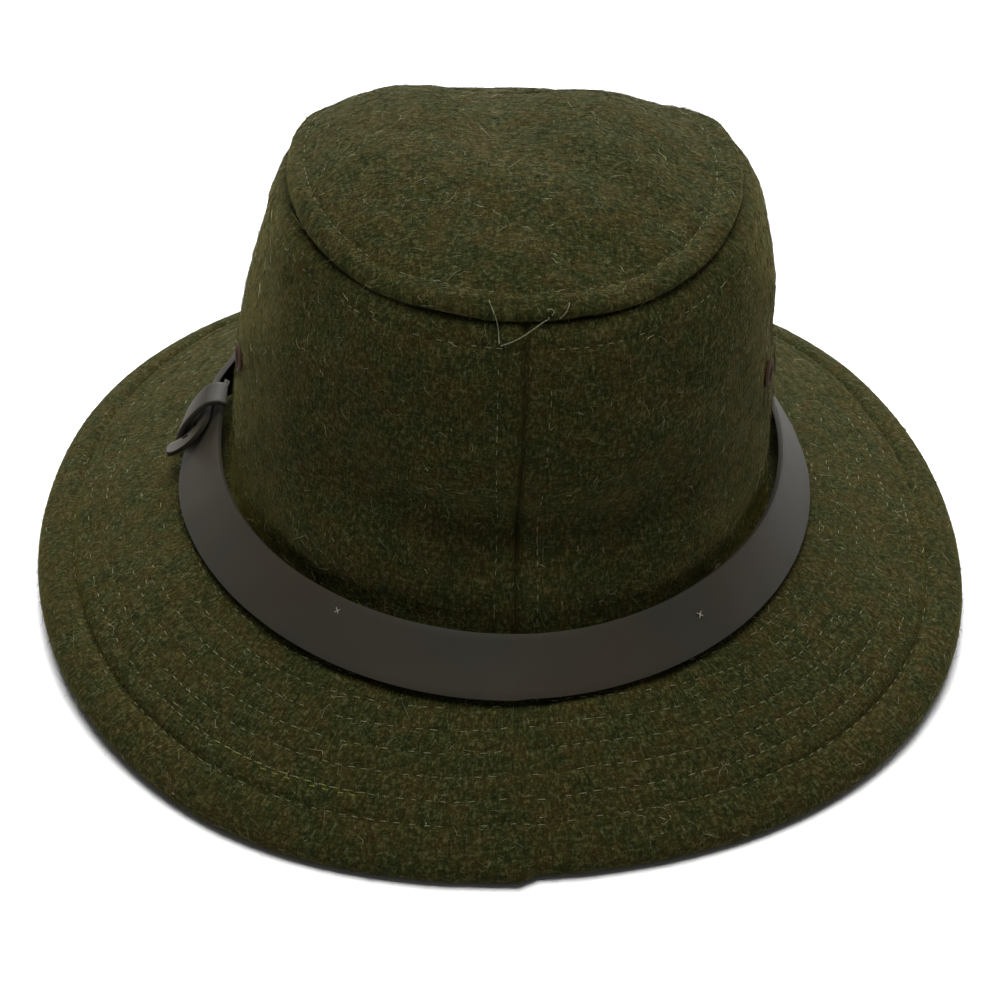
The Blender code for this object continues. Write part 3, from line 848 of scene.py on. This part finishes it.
def add(tree, kind, inputs=(), **settings):
    """Add a node with its settings, and with links or values on its inputs."""
    made = tree.nodes.new(kind)
    for name, value in settings.items():
        setattr(made, name, value)
    for socket, value in inputs:
        if isinstance(value, bpy.types.NodeSocket):
            tree.links.new(value, made.inputs[socket])
        else:
            made.inputs[socket].default_value = value
    return made


def noise(tree, place, scale, detail, roughness, distortion=0.0):
    """Noise over places, from 0 to 1."""
    return add(tree, "ShaderNodeTexNoise", [
        ("Vector", place), ("Scale", scale), ("Detail", detail), ("Roughness", roughness),
        ("Distortion", distortion)]).outputs["Fac"]


def ramp(tree, value, *stops):
    """Colours of a ramp over a value."""
    made = add(tree, "ShaderNodeValToRGB", [("Fac", value)])
    elements = made.color_ramp.elements
    for number, (place, shade) in enumerate(stops):
        element = elements[number] if number < 2 else elements.new(place)
        element.position = place
        element.color = (*shade, 1.0)
    return made.outputs["Color"]


def bump(tree, height, strength, distance):
    """Normal of a face raised by a height."""
    return add(tree, "ShaderNodeBump", [
        ("Height", height), ("Strength", strength), ("Distance", distance)]).outputs[0]


def coat(tree, *inputs):
    """Shader and output of a material, with links or values on the shader's inputs."""
    shader = add(tree, "ShaderNodeBsdfPrincipled", inputs)
    add(tree, "ShaderNodeOutputMaterial", [("Surface", shader.outputs[0])])


def wool_look(colours):
    """Felted heather wool: mixed fibres read as fine olive, brown and green flecks."""
    look, tree = new_look("felted heather wool")
    cloth = add(tree, "ShaderNodeUVMap", uv_map="cloth").outputs["UV"]
    place = add(tree, "ShaderNodeTexCoord").outputs["Object"]
    # Flecks 0.8 mm across and 2 mm long, along the grain and across it, and broader tufts
    grains = []
    for scale, distortion in (
        ((1250.0, 500.0, 1.0), 0.7), ((520.0, 1150.0, 1.0), 0.7), ((330.0, 230.0, 1.0), 0.8),
    ):
        spread = add(tree, "ShaderNodeMapping", [("Vector", cloth), ("Scale", scale)])
        grains.append(noise(tree, spread.outputs[0], 1.0, 3.0, 0.65, distortion))
    along, across, tuft = grains
    fleck = add(tree, "ShaderNodeMix", [(0, 0.42), (2, along), (3, across)]).outputs[0]
    # Patches of one shade about 9 mm across
    patch = noise(tree, place, 115.0, 4.0, 0.62)
    green, brown, olive = colours.wool_green, colours.wool_brown, colours.wool_olive
    ground = ramp(tree, patch, (0.44, green), (0.57, brown), (0.5, olive))
    tufts = ramp(tree, tuft, (0.36, green), (0.64, brown), (0.5, olive))
    base = add(tree, "ShaderNodeMix", [(0, 0.42), (6, ground), (7, tufts)], data_type="RGBA")
    depth = ramp(tree, fleck, (0.40, colours.wool_dark), (0.63, colours.wool_pale), (0.51, olive))
    shade = add(
        tree, "ShaderNodeMix", [(0, 0.52), (6, base.outputs[2]), (7, depth)], data_type="RGBA")
    fuzz = noise(tree, place, 1500.0, 2.0, 0.6)
    height = add(tree, "ShaderNodeMath", [(0, fleck), (1, fuzz)], operation="ADD")
    coat(
        tree, ("Base Color", shade.outputs[2]), ("Roughness", 0.95), ("Specular IOR Level", 0.05),
        ("Sheen Weight", 0.36), ("Sheen Roughness", 0.27),
        ("Sheen Tint", (*linear("#8a8038"), 1.0)),
        ("Normal", bump(tree, height.outputs[0], 0.85, 0.45 * MM)))
    return look


def nap_look():
    """Loose wool fibre: soft and matt, each fibre with its own shade."""
    look, tree = new_look("loose wool fibre")
    tint = add(tree, "ShaderNodeVertexColor", layer_name="fibre_tint")
    coat(tree, ("Base Color", tint.outputs[0]), ("Roughness", 0.85), ("Specular IOR Level", 0.05))
    return look


def leather_look(colours):
    """Smooth drum-dyed leather: an even matt face with fine pores and a faint cloudy wear."""
    look, tree = new_look("smooth dyed leather")
    place = add(tree, "ShaderNodeTexCoord").outputs["Object"]
    cloud = noise(tree, place, 26.0, 3.0, 0.5)
    # Pores about 0.5 mm apart
    pores = add(tree, "ShaderNodeTexVoronoi", [("Vector", place), ("Scale", 1900.0)])
    grain = noise(tree, place, 900.0, 3.0, 0.6)
    leather = np.array(colours.leather)
    warm = leather * np.array((1.12, 1.0, 0.88))
    cool = leather * np.array((0.86, 0.9, 0.98))
    tone = ramp(tree, cloud, (0.34, cool), (0.68, warm))
    height = add(
        tree, "ShaderNodeMath", [(0, pores.outputs["Distance"]), (1, grain)], operation="ADD")
    gloss = add(tree, "ShaderNodeMapRange", [("Value", cloud), ("To Min", 0.56), ("To Max", 0.68)])
    coat(
        tree, ("Base Color", tone), ("Roughness", gloss.outputs[0]), ("Specular IOR Level", 0.2),
        ("Normal", bump(tree, height.outputs[0], 0.12, 0.1 * MM)))
    return look


def thread_look(name, shade):
    """Spun sewing thread: matt, with the slant of its twist in fine ribs, painted darker in their
    grooves as shade and lighter on their crests as highlight.
    """
    look, tree = new_look(name)
    place = add(tree, "ShaderNodeTexCoord").outputs["Object"]
    # Ribs about 0.8 mm apart, drawn coarser than the thread's own twist so that they show; their
    # colour is painted shade in the grooves and painted highlight on the crests
    ribs = add(tree, "ShaderNodeTexWave", [
        ("Vector", place), ("Scale", 400.0), ("Distortion", 3.0), ("Detail", 1.0)]).outputs["Fac"]
    shade = np.array(shade)
    # Painted shade and highlight: the thread's colour darkened in the rib grooves and lightened on
    # the rib crests
    soft = ramp(tree, ribs, (0.0, shade * 0.6), (1.0, np.minimum(shade * 1.2, 1.0)))
    coat(
        tree, ("Base Color", soft), ("Roughness", 0.8), ("Specular IOR Level", 0.25),
        ("Normal", bump(tree, ribs, 0.4, 0.08 * MM)))
    return look


SIDES = {"left": (-180.0, 0.0), "right": (0.0, 180.0)}
BRIM_SIDES = {"left": (-180.0, BRIM_SEAM_TURN), "right": (BRIM_SEAM_TURN, 180.0)}


def panel_turns(start, end, columns, gap=0.02 * MM):
    """Turns of a panel, closer together at its seams and a hair short of them."""
    short = gap / BASE_HALF_WIDTH
    share = np.linspace(0.0, 1.0, columns)
    eased = share - 0.55 * np.sin(2 * math.pi * share) / (2 * math.pi)
    first, last = math.radians(start) + short, math.radians(end) - short
    return first + (last - first) * eased


def wall_sheet(side, sizes):
    """Rows and columns of the wool face of one crown side, tucked in at its top."""
    heights = np.concatenate((
        (-0.026, -0.012), np.linspace(0.0, 0.90, 62, endpoint=False),
        np.linspace(0.90, 1.0, 14), (1.008, 1.022)))
    turns = panel_turns(*SIDES[side], WALL_COLUMNS)
    return wall_face(*np.meshgrid(turns, heights), sizes)


def tip_sheet(sizes):
    """Rows and columns of the wool face of the tip, tucked in at its seam."""
    ways = np.concatenate(((-0.022, -0.008), np.linspace(0.0, 0.22, 26, endpoint=False),
                           np.linspace(0.22, 1.0, 38)))
    turns = np.linspace(0.0, 2 * math.pi, TIP_COLUMNS)
    return tip_face(*np.meshgrid(turns, ways), sizes)


def brim_insets(sizes):
    """Distances in from the rim of the brim's rows, close together at its edge and seams."""
    edge = np.array((0.0, 0.12, 0.4, 0.8, 1.3, 1.8, 2.4, 3.6, 5.2, 6.8, 8.4, 9.8, 10.7)) * MM
    welt = WELT_WIDTH + np.array((-0.9, -0.6, -0.3, 0.0, 0.3, 0.6, 0.9, 1.4)) * MM
    near = np.array((-2.6, -1.2, -0.7, -0.25, 0.25, 0.7, 1.2)) * MM
    rows = [WELT_WIDTH + row * sizes.row_spacing + near for row in range(1, sizes.row_count + 1)]
    end = WELT_WIDTH + sizes.row_count * sizes.row_spacing + 2 * MM
    return np.concatenate((edge, welt, *rows, np.linspace(end, BRIM_REACH, 9)))


def brim_sheets(side, sizes):
    """Rows and columns of the upper and the under face of one brim half."""
    turns = panel_turns(*BRIM_SIDES[side], BRIM_COLUMNS)
    width = overhang(turns) + rim_step(turns, BRIM_REACH)
    keep = BRIM_CLOSE_FROM
    squeeze = (width - keep) / (BRIM_REACH - keep)
    inset = brim_insets(sizes)[:, None]
    rows = np.where(inset < keep, inset, keep + (inset - keep) * squeeze)
    across = np.broadcast_to(turns, rows.shape)
    return [brim_face(across, rows, upper, sizes) for upper in (True, False)]


class HAT_OT_crown_sides(bpy.types.Operator):
    """Lay the two wool sides of the crown, with their vent holes"""

    bl_idname = "hat.crown_sides"
    bl_label = "Crown Sides"

    def execute(self, context):
        hat = context.scene.hat_sizes
        look = wool_look(context.scene.hat_colours)
        for side in SIDES:
            sheet = wall_sheet(side, hat)
            piece = lay_grid(f"wool_side_{side}", sheet)
            thicken(piece, WALL)
            centre, face = vent_place(side, hat)
            bore(piece, centre, face, VENT_RADIUS - VENT_THREAD / 2, 5 * WALL)
            smooth(piece)
            dress(piece, look, "heathered_wool", f"crown_side_{side}")
        return {"FINISHED"}


class HAT_OT_crown_tip(bpy.types.Operator):
    """Lay the domed wool tip"""

    bl_idname = "hat.crown_tip"
    bl_label = "Crown Tip"

    def execute(self, context):
        sheet = tip_sheet(context.scene.hat_sizes)
        piece = lay_grid("wool_tip", sheet, uv=sheet[..., [1, 0]])
        sew_up(piece)
        thicken(piece, WALL)
        smooth(piece)
        dress(piece, wool_look(context.scene.hat_colours), "heathered_wool", "crown_tip")
        return {"FINISHED"}


class HAT_OT_brim(bpy.types.Operator):
    """Lay the two halves of the turned and stitched double brim"""

    bl_idname = "hat.brim"
    bl_label = "Brim"

    def execute(self, context):
        look = wool_look(context.scene.hat_colours)
        for side in BRIM_SIDES:
            upper, under = brim_sheets(side, context.scene.hat_sizes)
            section = np.concatenate((under[::-1], upper[1:], under[-1:]))
            piece = lay_grid(f"wool_brim_{side}", section)
            sew_up(piece, fill=True)
            smooth(piece)
            dress(piece, look, "heathered_wool", f"brim_upper_{side}", f"brim_under_{side}")
        return {"FINISHED"}


class HAT_OT_strap(bpy.types.Operator):
    """Lay the leather strap with its pointed, punched tail, and its keeper"""

    bl_idname = "hat.strap"
    bl_label = "Strap and Keeper"

    def execute(self, context):
        look = leather_look(context.scene.hat_colours)
        strap = lay_grid("strap", strap_face(*STRAP_GRID))
        thicken(strap, LEATHER * 0.8, rounded=0.4 * MM)
        _, way = tail_way()
        for number in (0, 1):
            at = TAIL_LENGTH - TAIL_POINT * 0.7 - TAIL_HOLE_PITCH * number
            edges = tail_section(np.full(3, at), np.array((-1.0, 0.0, 1.0)))
            face = unit(np.cross(way, edges[2] - edges[0]))
            centre = edges[1] - face * LEATHER / 2 + SETTLE
            bore(strap, centre, face, TAIL_HOLE_RADIUS, 1.5 * LEATHER)
        smooth(strap)
        dress(strap, look, "charcoal_leather", "hat_band")
        keeper = lay_grid("strap_keeper", keeper_face(*KEEPER_GRID))
        thicken(keeper, LEATHER * 0.8, rounded=0.4 * MM)
        smooth(keeper)
        dress(keeper, look, "charcoal_leather", "band_keeper")
        return {"FINISHED"}


def vent_place(side, sizes):
    """Place and outward way of an eyelet on the crown wall."""
    degrees, height = VENTS[side]
    turn = np.radians(np.array([degrees]))
    place, face = line_on(lambda t, h: wall_face(t, h, sizes), turn, height)
    return place[0], face[0]


class HAT_OT_eyelets(bpy.types.Operator):
    """Wind the two thread eyelets"""

    bl_idname = "hat.eyelets"
    bl_label = "Eyelets"

    def execute(self, context):
        look = thread_look("wound eyelet thread", context.scene.hat_colours.eyelet)
        for side in VENTS:
            centre, face = vent_place(side, context.scene.hat_sizes)
            bpy.ops.object.select_all(action="DESELECT")
            bpy.ops.mesh.primitive_torus_add(
                major_radius=VENT_RADIUS, minor_radius=VENT_THREAD, major_segments=EYELET_WRAPS * 6,
                minor_segments=10)
            piece = bpy.context.object
            piece.name = f"wound_eyelet_{side}"
            mesh = piece.data
            points = np.array([vertex.co[:] for vertex in mesh.vertices])
            angle = np.arctan2(points[:, 1], points[:, 0])
            ring = VENT_RADIUS * np.stack((np.cos(angle), np.sin(angle), 0 * angle), 1)
            slant = angle * EYELET_WRAPS / 2 + points[:, 2] / MM * 0.5
            puff = 0.92 + 0.16 * np.abs(np.cos(slant))
            points = ring + (points - ring) * puff[:, None] * np.array((1.0, 1.0, 0.75))
            aside = unit(np.cross(np.array((0.0, 0.0, 1.0)), face))
            above = np.cross(face, aside)
            points = points @ np.stack((aside, above, face)) + centre + face * 0.4 * MM
            mesh.vertices.foreach_set("co", points.ravel())
            mesh.update()
            smooth(piece)
            dress(piece, look, "wound_thread", f"vent_eyelet_{side}")
        return {"FINISHED"}


class HAT_OT_stitching(bpy.types.Operator):
    """Sew the quilting rows, the topstitching and the back-tacks"""

    bl_idname = "hat.stitching"
    bl_label = "Stitching"

    def execute(self, context):
        hat = context.scene.hat_sizes
        colours = context.scene.hat_colours
        look = thread_look("olive sewing thread", colours.stitch)
        ahead = ((-52.0, BRIM_SEAM_TURN), (BRIM_SEAM_TURN, 58.0))
        behind = ((-180.0, -52.0), (58.0, 180.0))
        for name, upper, spans, hidden in (
            ("brim_stitches_front", True, ahead, 0.12),
            ("brim_stitches_back", True, behind, 0.7),
            ("brim_under_stitches", False, ahead + behind, 0.3),
        ):
            def face(turn, inset, upper=upper):
                return brim_face(turn, inset, upper, hat)

            lines = []
            for row in range(0, hat.row_count + 1):
                inset = WELT_WIDTH + row * hat.row_spacing
                for start, end in spans:
                    turns = np.radians(np.linspace(start + 0.3, end - 0.3, 500))
                    lines.append(line_on(face, turns, inset, -1.0 if upper else 1.0))
            sew(name, lines, hat.brim_pitch, hat.thread, look, hidden=hidden, seed=2)

        def wall(turn, height):
            return wall_face(turn, height, hat)

        lines = []
        for start, end in SIDES.values():
            turns = np.radians(np.linspace(start + 1.0, end - 1.0, 500))
            height = 1.0 - hat.topstitch_wall / around(turns, SEAM_HEIGHT)
            lines.append(line_on(wall, turns, height))
        for seam, sign in ((0.0, -1.0), (0.0, 1.0), (180.0, -1.0), (180.0, 1.0)):
            heights = np.linspace(0.08, 0.93, 260)
            half_width = BASE_HALF_WIDTH + (TIP_HALF_WIDTH - BASE_HALF_WIDTH) * heights
            turns = math.radians(seam) + sign * hat.topstitch_wall / half_width
            lines.append(line_on(wall, turns, heights))
        ways = np.linspace(0.0, 0.3, 200)
        turns = np.linspace(0.0, 2 * math.pi, 900)
        grid = tip_place(*np.meshgrid(turns, ways))
        away = np.linalg.norm(grid - grid[:1], axis=-1)
        way = np.array([np.interp(hat.topstitch_tip, away[:, k], ways) for k in range(len(turns))])
        lines.append(line_on(lambda turn, at: tip_face(turn, at, hat), turns, way))
        sew("crown_stitches", lines, hat.crown_pitch, hat.thread * 0.8, look, hidden=0.3, seed=3)
        tack = thread_look("bright tack thread", colours.tack)

        def upper_face(turn, inset):
            return brim_face(turn, inset, True, hat)

        inset = WELT_WIDTH + hat.row_spacing
        turns = np.radians(np.linspace(-38.5, -17.0, 120))
        lines = [line_on(upper_face, turns, inset + 0.1 * MM, -1.0)]
        turns = np.radians(np.linspace(-33.0, -17.0, 120))
        lines.append(line_on(upper_face, turns, inset - 0.9 * MM, -1.0))
        sew("brim_back_tacks", lines, hat.brim_pitch, hat.thread, tack, seed=4)
        return {"FINISHED"}


# Turn, place across the strap, and half size of the two thread crosses on the strap
CROSSES = ((-32.2, 0.55, 1.4 * MM), (34.2, 0.1, 1.4 * MM))


class HAT_OT_strap_tacks(bpy.types.Operator):
    """Tack the strap down with two crosses of pale thread"""

    bl_idname = "hat.strap_tacks"
    bl_label = "Strap Tacks"

    def execute(self, context):
        hat = context.scene.hat_sizes
        look = thread_look("pale tack thread", context.scene.hat_colours.cross)
        shape, faces = stitch_shape()
        points, cells = [], []
        for turn, across, half in CROSSES:
            turns = np.radians(np.array((turn, turn + 0.2)))
            here, ahead = strap_section(turns, np.full(2, across)) + SETTLE
            above = strap_section(turns[:1], np.array((across + 0.1,)))[0] + SETTLE
            run, up = unit(ahead - here), unit(above - here)
            out = np.cross(run, up)
            for slant in (-1.0, 1.0):
                way = unit(run + up * slant)
                thick = hat.thread * 2.2
                axes = np.stack((way * 2 * half, np.cross(out, way) * thick, out * thick * 1.2))
                cells.append(faces + len(points) * len(shape))
                points.append(here + out * 0.2 * MM + shape @ axes)
        piece = mesh_piece("strap_crosses", np.concatenate(points), np.concatenate(cells))
        dress(piece, look, "wound_thread")
        return {"FINISHED"}


# Loose thread ends as turns and heights over the tip's seam, in degrees and mm
LOOSE_ENDS = (
    ((-7.6, 8.5), (-6.9, 5.5), (-5.9, 2.5), (-5.3, -1.5), (-5.0, -5.0)),
    ((-4.6, -5.5), (-2.0, -4.0), (1.0, -1.5), (3.6, 0.8), (4.4, 1.5), (3.9, 2.6)),
    ((6.4, 1.0), (7.4, 3.0), (8.4, 5.5), (8.6, 7.5)),
    ((4.6, 3.5), (5.4, 4.6), (5.0, 6.4), (3.8, 5.6)),
)


class HAT_OT_loose_ends(bpy.types.Operator):
    """Leave the loose thread ends where the seams meet at the front"""

    bl_idname = "hat.loose_ends"
    bl_label = "Loose Ends"

    def execute(self, context):
        hat = context.scene.hat_sizes
        curve = bpy.data.curves.new("loose_ends", "CURVE")
        curve.dimensions = "3D"
        curve.bevel_depth = hat.thread * 0.9
        curve.bevel_resolution = 1
        curve.use_fill_caps = True
        for bends in LOOSE_ENDS:
            spline = curve.splines.new("NURBS")
            spline.points.add(len(bends) - 1)
            spline.order_u = 4
            spline.use_endpoint_u = True
            for point, (degrees, above) in zip(spline.points, bends):
                turn = np.radians(np.array([degrees]))
                if above > 0:
                    place = tip_face(turn, np.array([above / 85]), hat)[0]
                else:
                    place = wall_face(turn, np.array([1 + above / 95]), hat)[0]
                point.co = (*(place + np.array((0.0, -0.7, 0.7)) * MM), 1.0)
        piece = bpy.data.objects.new("loose_ends", curve)
        context.scene.collection.objects.link(piece)
        select_only(piece)
        bpy.ops.object.convert(target="MESH")
        piece = context.object
        smooth(piece, 60.0)
        look = thread_look("olive sewing thread", context.scene.hat_colours.stitch)
        dress(piece, look, "heathered_wool")
        return {"FINISHED"}


class HAT_OT_nap(bpy.types.Operator):
    """Grow the wool's short curled fibres"""

    bl_idname = "hat.nap"
    bl_label = "Nap"

    def execute(self, context):
        hat = context.scene.hat_sizes
        look = nap_look()
        for number, side in enumerate(SIDES):
            sheets = [(wall_sheet(side, hat)[2:-3], 1.0)]
            grow_nap(f"nap_side_{side}", sheets, hat, look, 20 + number)
            upper, under = brim_sheets(side, hat)
            # The upper sheet runs in from the rim, so it is turned to face out
            sheets = [(upper, 1.0), (under[::-1], UNDER_NAP)]
            grow_nap(f"nap_brim_{side}", sheets, hat, look, 30 + number)
        sideways = np.array((1.0, 0.0, 0.0))
        grow_nap("nap_tip", [(tip_sheet(hat)[2:], 1.0)], hat, look, 40, way=sideways)
        return {"FINISHED"}


def soft_light(name, place, size, power):
    """Square soft light at a place, turned to the hat."""
    bpy.ops.object.light_add(type="AREA", location=place)
    light = bpy.context.object
    light.name = name
    light.data.size = size
    light.data.energy = power
    way = np.array(LIGHT_AIM) - np.array(place)
    dip = math.atan2(math.hypot(way[0], way[1]), -way[2])
    light.rotation_euler = (dip, 0.0, math.atan2(way[1], way[0]) - math.pi / 2)


class HAT_OT_stage(bpy.types.Operator):
    """Set the pale floor, the soft studio light and the camera"""

    bl_idname = "hat.stage"
    bl_label = "Stage"

    def execute(self, context):
        bpy.ops.object.select_all(action="DESELECT")
        bpy.ops.mesh.primitive_plane_add(size=8.0)
        floor = bpy.context.object
        floor.name = "studio_floor"
        look, tree = new_look("pale studio floor")
        place = add(tree, "ShaderNodeTexCoord").outputs["Object"]
        dust = noise(tree, place, 40.0, 2.0, 0.5)
        tone = ramp(tree, dust, (0.0, linear("#f2f2f2")), (1.0, linear("#f6f6f6")))
        coat(tree, ("Base Color", tone), ("Roughness", 0.9))
        floor.data.materials.append(look)
        world = bpy.data.worlds.new("studio")
        world.use_nodes = True
        sky = world.node_tree.nodes["Background"]
        sky.inputs["Color"].default_value = (1.0, 1.0, 1.0, 1.0)
        sky.inputs["Strength"].default_value = SKY_STRENGTH
        context.scene.world = world
        context.scene.view_settings.view_transform = "Standard"
        for light in LIGHTS:
            soft_light(*light)
        bpy.ops.object.camera_add(location=CAMERA_PLACE)
        camera = bpy.context.object
        camera.rotation_euler = [math.radians(angle) for angle in CAMERA_TURN]
        camera.data.sensor_width = SENSOR
        camera.data.lens = CAMERA_LENS
        context.scene.camera = camera
        return {"FINISHED"}


OPERATORS = (
    HAT_OT_stage, HAT_OT_crown_sides, HAT_OT_crown_tip, HAT_OT_brim, HAT_OT_strap,
    HAT_OT_eyelets, HAT_OT_stitching, HAT_OT_strap_tacks, HAT_OT_loose_ends, HAT_OT_nap,
)


class HAT_PT_pieces(bpy.types.Panel):
    """Sizes, colours and pieces of the hat"""

    bl_idname = "HAT_PT_pieces"
    bl_label = "Packer Hat"
    bl_space_type = "VIEW_3D"
    bl_region_type = "UI"
    bl_category = "Hat"

    def draw(self, context):
        for group in (context.scene.hat_sizes, context.scene.hat_colours):
            for name in group.__annotations__:
                self.layout.prop(group, name)
        for operator in OPERATORS:
            self.layout.operator(operator.bl_idname)


CLASSES = (HatSizes, HatColours, *OPERATORS, HAT_PT_pieces)


def register():
    """Register the classes and the scene's sizes and colours."""
    for made in CLASSES:
        bpy.utils.register_class(made)
    bpy.types.Scene.hat_sizes = PointerProperty(type=HatSizes)
    bpy.types.Scene.hat_colours = PointerProperty(type=HatColours)


def unregister():
    """Remove the classes and the scene's sizes and colours."""
    del bpy.types.Scene.hat_colours
    del bpy.types.Scene.hat_sizes
    for made in reversed(CLASSES):
        bpy.utils.unregister_class(made)


def main():
    """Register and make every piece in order."""
    register()
    for operator in OPERATORS:
        group, name = operator.bl_idname.split(".")
        getattr(getattr(bpy.ops, group), name)()


if __name__ == "__main__":
    main()
